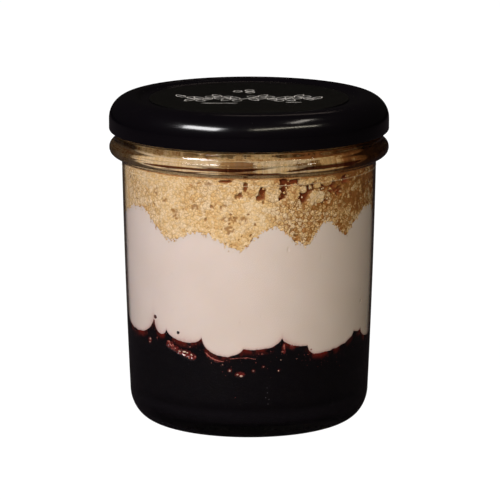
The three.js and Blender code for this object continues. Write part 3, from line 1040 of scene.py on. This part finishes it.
crumble = {
    "rows": 84,
    "topShares": np.linspace(0, 1, 22),
    "middle": 87.8,
    "rim": 87.0,
    "clump": 2.6,
    "cell": 1.15,
    "speck": 0.6,
    "wall": 36.0,
    # Hollows between lumps at the glass: angle, height, half width, half height, depth
    "hollows": [
        (6, 76.1, 1, 1.9, 1.6), (5, 74.9, 0.9, 0.8, 1.2), (16.8, 79.2, 1.7, 2, 3),
        (15.6, 75.8, 1.4, 2.3, 2.6), (26, 74.9, 1.5, 2, 2.8), (28.9, 77.2, 2.4, 1.2, 2.6),
        (22.4, 79.6, 2.8, 1.2, 2.6), (36.5, 77.2, 1.8, 1.1, 1.8), (41.5, 76.6, 1.4, 1.8, 1.6),
        (46, 75, 1.3, 1.5, 1.5), (37.5, 72.6, 1.3, 0.9, 1), (-1.6, 78.2, 0.7, 1.3, 1.1),
        (-4, 75.5, 0.8, 0.8, 0.9), (-11.6, 79.9, 2.4, 0.6, 1.4), (51, 78.2, 2.2, 1.4, 1.6),
        (131, 77, 2.8, 2, 3.2), (138, 75.2, 1.8, 1.6, 2.4), (171, 76.8, 1.4, 2.2, 2),
        (205, 77.4, 3, 1.6, 3), (212, 75.4, 1.6, 1.8, 2.2), (248, 78, 1.6, 1.4, 1.8),
        # Behind the bead, which stretches them
        (-1.5, 83.1, 4.2, 0.5, 0.5), (27, 83.1, 4.6, 0.45, 0.35), (-6, 83.9, 4.4, 0.45, 0.5),
    ],
    # Small ones that the glass still touches, so only their painted shade shows: angle, height, half
    # width, half height
    "specks": [
        (-48, 74.9, 1, 1.4), (-37, 69.7, 1.3, 0.9), (-36, 68, 1.1, 0.9), (-26, 71.6, 1.3, 0.7),
        (-11, 72.5, 1.1, 0.7), (-10, 68.3, 1.5, 1), (-6.6, 68.3, 0.9, 0.9), (-10, 65.2, 1.9, 1.1),
        (-3, 68, 1.2, 0.9), (-19, 78.6, 0.9, 0.9), (-43, 72.6, 1, 0.8), (19, 68.5, 1.2, 0.8),
    ],
    "speckDepth": 0.098,
    # Pale floury patches: angle, height, width, height of it
    "flour": [(-20.5, 71.5, 1.3, 3), (-9.5, 73.6, 1.8, 1.6), (11, 71, 2.4, 1.4), (-33, 66, 1.5, 1.2)],
    "gold": (0.87, 0.57, 0.262, 1),
    "pale": (0.93, 0.70, 0.452, 1),
    "brown": (0.48, 0.18, 0.055, 1),
    "darkBrown": (0.2, 0.066, 0.024, 1),
    # Painted shade: the gap colour for gaps between grains and shallow pits, the deep colour for
    # deeper pits and hollows
    "gap": (0.28, 0.112, 0.025, 1),
    "deep": (0.27, 0.062, 0.018, 1),
    # Tones run from -1, pale, through 0, gold, to 2, dark brown; the dark brown end is mostly painted
    # shade
    "tones": ((0.0, -0.9, "pale"), (0.0, 0.95, "brown"), (0.9, 2.0, "darkBrown")),
    "heapTone": 0.2,
    # Angles over which the grains turn loose, darker with painted shade, darker still with the lid's
    # painted shadow, plain again towards the back, and pale at the far left
    "loosens": (-6, 42),
    "darkens": (19, 56),
    "lidShadowDeepens": (5, 38),
    "endsAt": (170, 100),
    "paleLeft": (-35, -60),
    # Heights over which their tone and looseness change, from below the bead to its upper part:
    # painted shade on the upper wall and in a band under the bead, painted light behind the bead, and
    # the lid's painted shadow above it
    "upperWall": (69, 79),
    "firmFrom": (80.5, 81.5),
    "shadeBandFrom": (80.4, 81.4),
    "shadeBandTo": (82.8, 82.3),
    "paintedLightFrom": (83.2, 83.8),
    "lidShadowFrom": (84.9, 85.6),
}


def crumbleFlat(share, angle):
    mound = blend(crumble["middle"], crumble["rim"], smoothstep(0.68, 1, share))
    return mound - 0.5 * share * np.sin(angle) + 0.5 * share * ripple(angle, share * 4, 4, 23)


def crumbleLevel(share):
    flat = crumbleFlat(share, aroundJar)
    inside, lot = grainNoise(onWall(aroundJar, flat, 36.0 * share), 2.4, 41)
    return flat + 0.9 * lot + 0.5 * inside - 0.8


def hollowDepth(points, angle, height):
    depth = np.zeros(angle.shape)
    ragged = 0.9 * softNoise(points, 1.9, 50) + 0.7 * softNoise(points, 0.9, 51)
    speckled = 2.8 * softNoise(points, 0.7, 52)
    spots = [(spot, spot[4], ragged) for spot in crumble["hollows"]]
    spots += [(spot, crumble["speckDepth"], speckled) for spot in crumble["specks"]]
    for spot, deep, uneven in spots:
        inside = np.clip(1.15 - spotReach(angle, height, spot, crumble["wall"]) + uneven, 0, 1)
        depth = np.maximum(depth, deep * inside ** 0.6)
    return depth


# From 0 to 1 over one of the crumble's spans
def over(span, value):
    return smoothstep(*crumble[span], value)


# How loosely the grains lie: firm at the front left, loose at the front right
def looseness(points, degrees):
    side = over("loosens", degrees) * over("endsAt", degrees)
    return np.clip(0.25 + 0.75 * side + 0.4 * softNoise(points, 12.0, 46), 0.15, 1)


# How far the crumble stands back from the glass, its tone, and how loose it is
def crumblePits(points, angle, height):
    degrees = np.degrees(turnFrom(angle, 0))
    loose = looseness(points, degrees)
    clumpLot = grainNoise(points, crumble["clump"], 42)[1]
    patchy = softNoise(points, 4.2, 44)
    fine = softNoise(points, 0.7, 45)
    ragged = 0.9 * softNoise(points, 1.7, 47) + 0.5 * fine
    start = 0.4 - 0.3 * loose
    dents = 0.08 * smoothstep(start, start + 0.35, fine + 0.4 * patchy)
    holes = smoothstep(0.62, 0.9, softNoise(points, 1.1, 48) + 0.75 * patchy)
    # Painted shade: darker, browner and more varied towards the right, where less light falls
    shaded = over("darkens", degrees) * over("endsAt", degrees)
    tone = (0.6 + 0.5 * shaded) * (clumpLot - 0.5) + (0.35 + 0.7 * shaded) * patchy
    tone += 0.85 * shaded - 0.3 - 0.25 * over("paleLeft", degrees)
    for spot in crumble["flour"]:
        flour = smoothstep(1.3, 0.0, spotReach(angle, height, spot, crumble["wall"]) + ragged)
        tone -= 0.8 * flour
        holes = holes * (1 - flour)
    holes = 0.5 * np.cos(angle) ** 2 * holes * smoothstep(80.6, 79.6, height)
    # Painted shade: darker near the top of the wall on the right, and a dark band under the bead
    paintedShadeBand = over("shadeBandFrom", height) * over("shadeBandTo", height)
    tone += 0.5 * shaded * over("upperWall", height) + paintedShadeBand * (1.1 + shaded)
    # Painted light makes it pale behind the bead, and the lid's painted shadow makes it brown to dark
    # brown above that
    pale = -0.9 + 2.3 * shaded + 0.3 * patchy
    darkBrown = 0.15 + 1.9 * over("lidShadowDeepens", degrees) + 0.5 * patchy
    tone = blend(tone, pale, over("paintedLightFrom", height))
    tone = blend(tone, darkBrown, over("lidShadowFrom", height))
    pits = dents + holes + hollowDepth(points, angle, height)
    loose = blend(loose, 0.1, over("firmFrom", height))
    return pits, np.clip(tone, -1, 1.8), loose


def makeCrumbleCore():
    bottom = acrossLayer(rings[:-1], creamLevel, layers["seam"])
    side = upSide(creamLine + layers["seam"], crumbleLevel(1.0), crumble["rows"])
    angle = sideAngles(side)
    pits, tone, loose = crumblePits(onWall(angle, side, fillRadius(side)), angle, side)
    attributes = {
        "pitDepth": (0, pits, 0), "tone": (0, tone, crumble["heapTone"]), "loose": (0, loose, 0.5),
    }
    return makeLayer(
        "crumbleCore", "crumble_layer",
        bottom, side, pits, topRows(crumbleLevel, crumble["topShares"]), attributes,
    )


def crumbleFinish(piece):
    shader, mottle, grain = newMaterial(piece, "biscuitCrumble", 1.6, 0.4)
    loose, depth = readAttribute(shader, "loose"), readAttribute(shader, "pitDepth")
    place = objectPlace(shader)
    noiseInputs = {"Vector": place, "Scale": 1 / (0.9 * mm), "Detail": 2.0}
    wobble = addNode(place, "TexNoise", noiseInputs).outputs["Color"]
    shift = addNode(place, "VectorMath", {0: wobble, "Scale": 0.6 * mm}, operation="SCALE").outputs[0]
    moved = addNode(place, "VectorMath", {0: place, 1: shift}, operation="ADD").outputs[0]

    # Grains of one size: a random number for each, and how far a point is from the gaps round it
    def grains(size):
        cells = {"Vector": moved, "Scale": 1 / (size * mm)}
        colour = addNode(place, "TexVoronoi", cells).outputs["Color"]
        lot = addNode(place, "SeparateColor", {"Color": colour}).outputs[0]
        gaps = addNode(place, "TexVoronoi", cells, feature="DISTANCE_TO_EDGE")
        return mathNode("SUBTRACT", lot, 0.5), gaps.outputs["Distance"]

    lot, inside = grains(crumble["cell"])
    fineLot, fineInside = grains(crumble["speck"])
    # Loose grains differ more from one another, and show darker gaps of painted shade
    tone = timesPlus(lot, timesPlus(loose, 1.4, 0.45), readAttribute(shader, "tone"))
    tone = timesPlus(fineLot, 0.5, tone)
    tone = timesPlus(mathNode("SUBTRACT", mottle, 0.5), 1.6, tone)
    colour = crumble["gold"]
    for low, high, name in crumble["tones"]:
        colour = mixColours(spanNode(tone, low, high), colour, crumble[name])
    # Painted shade in the gaps between grains and in shallow pits
    gap = times(spanNode(fineInside, 0.13, 0.02), 0.6)
    gap = mathNode("MAXIMUM", spanNode(inside, 0.13, 0.02), gap)
    patches = spanNode(mathNode("ADD", grain, mottle), 0.64, 1.04)
    gap = times(gap, timesPlus(loose, 1.3, 0.25), patches)
    pitted = mathNode("MAXIMUM", gap, times(spanNode(depth, 0.01, 0.1), 0.8))
    colour = mixColours(pitted, colour, crumble["gap"])
    dome = timesPlus(spanNode(fineInside, 0.0, 0.3), 0.4, spanNode(inside, 0.0, 0.35))
    # Painted shade: deeper pits and hollows turn dark
    setSockets(
        shader, Roughness=0.9, Specular_IOR_Level=0.08, Normal=bumpFrom(dome, 0.5, 0.16),
        Base_Color=mixColours(spanNode(depth, 0.25, 1.3), colour, crumble["deep"]),
    )


crumbleCore = makeCrumbleCore()
crumbleFinish(crumbleCore)
print("crumble core made")


crumbs = {
    # Large lumps in the hollow: angle, height, width, height of it, tone from -1, pale, to 1, brown
    "lumps": [
        (7.7, 79.6, 7, 2.9, -0.15), (10.8, 75.8, 4.6, 4.4, -0.5), (21, 76.2, 4.4, 5.2, 0.25),
        (25.5, 76.9, 2.4, 2.2, -0.35), (27.5, 79.3, 5.2, 2.7, -0.05), (33.2, 74.4, 5.4, 3.6, -0.6),
        (29.8, 72.8, 2.6, 2, -0.45), (16.4, 73.4, 2.8, 2, 0), (38.6, 78.6, 4, 2.6, 0.3),
        (33, 77.6, 2.6, 1.6, 0.5), (1.2, 76.4, 3, 3, -0.2), (12.9, 79.6, 2, 2, 0.3),
        (134.5, 76, 3.4, 3, -0.5), (129, 78.6, 2.8, 2, 0.2), (208.5, 76.2, 3.2, 3.2, -0.6),
        (202, 79.2, 3, 1.8, 0.3), (168, 78.6, 2.4, 2, 0), (246, 79.6, 2.6, 1.6, 0.2),
    ],
    "sideCount": 420,
    # This share lies anywhere, and the rest at the front right
    "sideSpread": 0.45,
    "sideFront": (5, 80),
    "sideSize": (0.5, 1.2),
    "topCount": 1000,
    "topSize": (0.6, 3.2),
    # Smaller near the glass
    "fineFrom": 0.66,
    "fineShare": 0.3,
    "strayCount": 900,
    "straySize": (0.35, 1.05),
    "seed": 4,
}


def makeCrumbs():
    scatter = Scatter(crumbs["seed"])
    random, tiny, small, large = scatter.random, roundShape(1), roundShape(2), roundShape(4)
    for angle, height, width, tall, tone in crumbs["lumps"]:
        thick = 1.05 * min(width, tall)
        centre = onWall(math.radians(angle), height, fillRadius(height) - 0.12 * thick)
        scatter.add(centre, (width, thick, tall), large, (0.0, tone, 0.35), 0.3, 0.22, True, 0.13)
    for _ in range(crumbs["sideCount"]):
        size = random.uniform(*crumbs["sideSize"])
        spreadOut = random.uniform() < crumbs["sideSpread"]
        angle = random.uniform(0, 360) if spreadOut else random.uniform(*crumbs["sideFront"])
        angle = math.radians(angle)
        height = random.uniform(np.interp(angle, aroundJar, creamLine) + 0.5, 80)
        centre = onWall(angle, height, fillRadius(height) - 0.42 * size)
        scatter.add(centre, size, tiny, (0.0, random.uniform(-0.7, 0.8), 0.5), reach=0.115)
    low, high = crumbs["topSize"]
    for _ in range(crumbs["topCount"]):
        size = low * (high / low) ** random.uniform(0, 1) ** 1.6
        angle = random.uniform(0, turn)
        share = math.sqrt(random.uniform(0, 1))
        height = crumbleFlat(share, angle) + 0.2 * size
        radius = min(share * 36.4, fillRadius(height) - 0.45 * size)
        if share > crumbs["fineFrom"]:
            size *= crumbs["fineShare"]
        values = (0.0, crumble["heapTone"] + random.uniform(-0.5, 0.5), 0.3)
        scatter.add(onWall(angle, height, radius), size, small if size > 1.4 else tiny, values)
    # Stray grains that have sunk into the top of the cream
    for _ in range(crumbs["strayCount"]):
        size = random.uniform(*crumbs["straySize"])
        angle = random.uniform(0, turn)
        height = np.interp(angle, aroundJar, creamLine) + random.normal(0.1, 0.5)
        centre = onWall(angle, height, fillRadius(height) - 0.22 * size)
        scatter.add(centre, size, tiny, (0.0, random.uniform(-0.9, 0.6), 0.4), reach=0.13)
    attributes = ("pitDepth", "tone", "loose")
    piece = scatter.piece("looseCrumbs", "biscuit_crumble", "crumble_layer", attributes)
    piece.data.materials.append(crumbleCore.data.materials[0])


makeCrumbs()
print("crumbs made")


# Stage: pale floor, dark studio for reflections, soft boxes, and the photo's camera

stage = {
    "floorSize": 14.0,
    "pale": 1.07,
    "shadowShare": 0.07,
    "floor": (0.95, 0.95, 0.95, 1),
    "dark": (0.008, 0.007, 0.0065, 1),
    "floorBounce": (0.025, 0.021, 0.025, 1),
    "lightHeight": 55.0,
    "cameraDistance": 1150.0,
    "cameraPitch": 11.46,
    "aimHeight": 51.72,
    "aimRight": 0.3,
    "lens": 269.4,
}

# Soft boxes: angle and rise from the jar, distance, sides, radiance, tint, and whether reflections
# show them
softBoxes = {
    "keyBox": (-45, 42, 850, (400, 190), 21.6, (1, 0.985, 1.0), True),
    "rightStrip": (36, 47, 900, (780, 42), 12, (1, 0.93, 0.75), True),
    "highWindow": (85, 66, 900, (300, 80), 6, (1, 0.92, 0.82), True),
    "backStrip": (172, 44, 900, (300, 50), 0.7, (1, 0.8, 0.7), True),
    "frontFill": (-5, 17, 1000, (600, 420), 6.6, (1, 0.955, 0.86), False),
    "rightFill": (60, 22, 900, (600, 500), 0.5, (1, 0.93, 0.45), False),
    "backFill": (160, 24, 900, (700, 500), 2.6, (1, 0.95, 0.88), False),
    "leftBackFill": (-138, 24, 900, (600, 500), 2.6, (1, 0.95, 0.88), False),
}


def makeFloor():
    half = stage["floorSize"] / 2
    corners = [(-half, -half, 0), (half, -half, 0), (half, half, 0), (-half, half, 0)]
    mesh = bpy.data.meshes.new("floor")
    mesh.from_pydata(corners, [], [(0, 1, 2, 3)])
    floor = bpy.data.objects.new("floor", mesh)
    bpy.context.collection.objects.link(floor)
    material = bpy.data.materials.new("paleFloor")
    output = startTree(material, "Material")
    seen = addNode(output, "LightPath").outputs["Is Camera Ray"]
    glow = addNode(output, "Emission", {"Color": (1, 1, 1, 1), "Strength": stage["pale"]})
    lit = addNode(output, "BsdfDiffuse", {"Color": stage["floor"]})
    dull = addNode(output, "BsdfDiffuse", {"Color": stage["floorBounce"]})
    mixShaders(output, seen, dull, mixShaders(output, stage["shadowShare"], glow, lit))
    mesh.materials.append(material)


def makeWorld():
    world = bpy.data.worlds.new("studio")
    bpy.context.scene.world = world
    output = startTree(world, "World")
    seen = addNode(output, "LightPath").outputs["Is Camera Ray"]
    dark = addNode(output, "Background", {"Color": stage["dark"], "Strength": 1.0})
    pale = addNode(output, "Background", {"Color": (1, 1, 1, 1), "Strength": 1.0})
    mixShaders(output, seen, dark, pale)


def lookFrom(item, place, target):
    item.location = place
    item.rotation_euler = (Vector(target) - Vector(place)).to_track_quat("-Z", "Y").to_euler()


def makeLights():
    target = Vector((0, 0, stage["lightHeight"] * mm))
    for name, (angle, rise, away, sides, bright, tint, mirrored) in softBoxes.items():
        light = bpy.data.lights.new(name, "AREA")
        light.shape = "RECTANGLE"
        light.size, light.size_y = (side * mm for side in sides)
        light.color = tint
        light.energy = bright * math.pi * light.size * light.size_y
        lamp = bpy.data.objects.new(name, light)
        bpy.context.collection.objects.link(lamp)
        lamp.visible_camera = False
        lamp.visible_glossy = lamp.visible_transmission = mirrored
        rise = math.radians(rise)
        way = Vector(onWall(math.radians(angle), math.sin(rise), math.cos(rise)))
        lookFrom(lamp, target + way * away * mm, target)


def makeCamera():
    camera = bpy.data.cameras.new("camera")
    camera.lens = stage["lens"]
    camera.clip_end = 100
    holder = bpy.data.objects.new("camera", camera)
    bpy.context.collection.objects.link(holder)
    pitch = math.radians(stage["cameraPitch"])
    aim = Vector((0, 0, stage["aimHeight"] * mm))
    place = aim + Vector((0, -math.cos(pitch), math.sin(pitch))) * stage["cameraDistance"] * mm
    lookFrom(holder, place, aim + Vector((stage["aimRight"] * mm, 0, 0)))
    bpy.context.scene.camera = holder


makeFloor()
makeWorld()
makeLights()
makeCamera()
bpy.context.scene.view_settings.view_transform = "Standard"
print("stage set")
